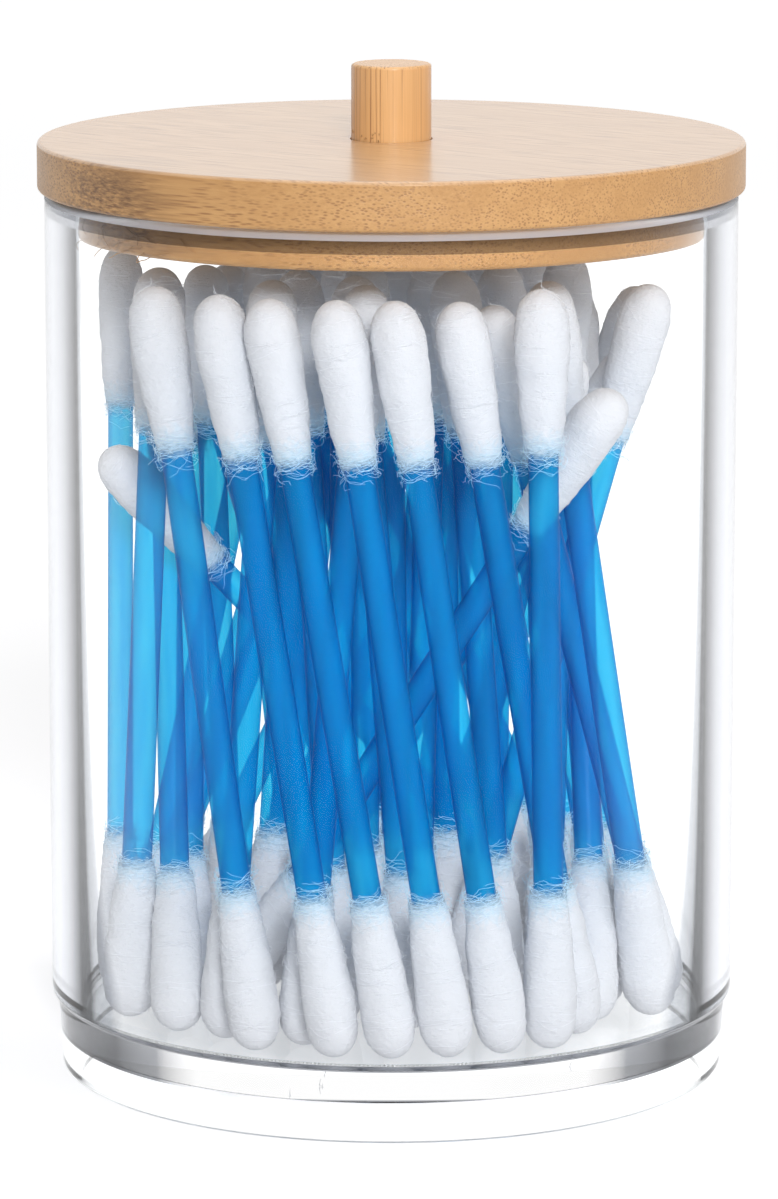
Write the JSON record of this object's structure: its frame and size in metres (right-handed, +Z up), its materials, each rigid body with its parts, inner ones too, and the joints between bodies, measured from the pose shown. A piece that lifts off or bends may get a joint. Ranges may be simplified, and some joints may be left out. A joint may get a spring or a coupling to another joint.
{
  "type": "cotton swab holder",
  "caption": "Clear round jar with a lift-off bamboo lid and dowel knob, filled with standing double-ended cotton swabs.",
  "frame": {"origin": "centre of the ring that the jar stands on", "axes": "+Z up along the jar's axis, -Y towards the front of the picture"},
  "size_m": [0.0714, 0.0714, 0.103],
  "materials": {
    "clear_plastic": "clear polished plastic",
    "bamboo": "fine sanded bamboo",
    "bamboo_dowel": "sanded bamboo with dark fibres",
    "cotton": "wound white cotton on a blue stem",
    "stem_plastic": "clear blue drawn plastic tube"
  },
  "bodies": {
    "jar": {"jar_body": "clear_plastic", "swab_01": "cotton", "swab_02": "cotton", "swab_03": "cotton", "swab_04": "cotton", "swab_05": "cotton", "swab_06": "cotton", "swab_07": "cotton", "swab_08": "cotton", "swab_09": "cotton", "swab_10": "cotton", "swab_11": "cotton", "swab_12": "cotton", "swab_13": "cotton", "swab_14": "cotton", "swab_15": "cotton", "swab_16": "cotton", "swab_17": "cotton", "swab_18": "cotton", "swab_19": "cotton", "swab_20": "cotton", "swab_21": "cotton", "swab_22": "cotton", "swab_23": "cotton", "swab_24": "cotton", "swab_25": "cotton", "swab_26": "cotton", "swab_27": "cotton", "swab_28": "cotton", "swab_29": "cotton", "swab_30": "cotton", "swab_31": "cotton", "swab_32": "cotton", "swab_33": "cotton", "swab_34": "cotton", "swab_35": "cotton", "swab_36": "cotton", "swab_37": "cotton", "swab_38": "cotton", "swab_39": "cotton", "swab_40": "cotton", "swab_41": "cotton", "swab_42": "cotton", "swab_43": "cotton", "swab_44": "cotton", "swab_45": "cotton", "swab_46": "cotton", "swab_47": "cotton", "swab_48": "cotton", "swab_49": "cotton", "swab_50": "cotton", "swab_51": "cotton", "swab_52": "cotton", "swab_53": "cotton", "swab_54": "cotton", "swab_55": "cotton", "swab_56": "cotton", "swab_57": "cotton"},
    "lid": {"lid": "bamboo", "knob": "bamboo_dowel"}
  },
  "joints": [
    {"name": "lid_lift", "type": "slide", "parent": "jar", "child": "lid", "axis": [0, 0, 1], "range_m": [0, 0.1]}
  ]
}
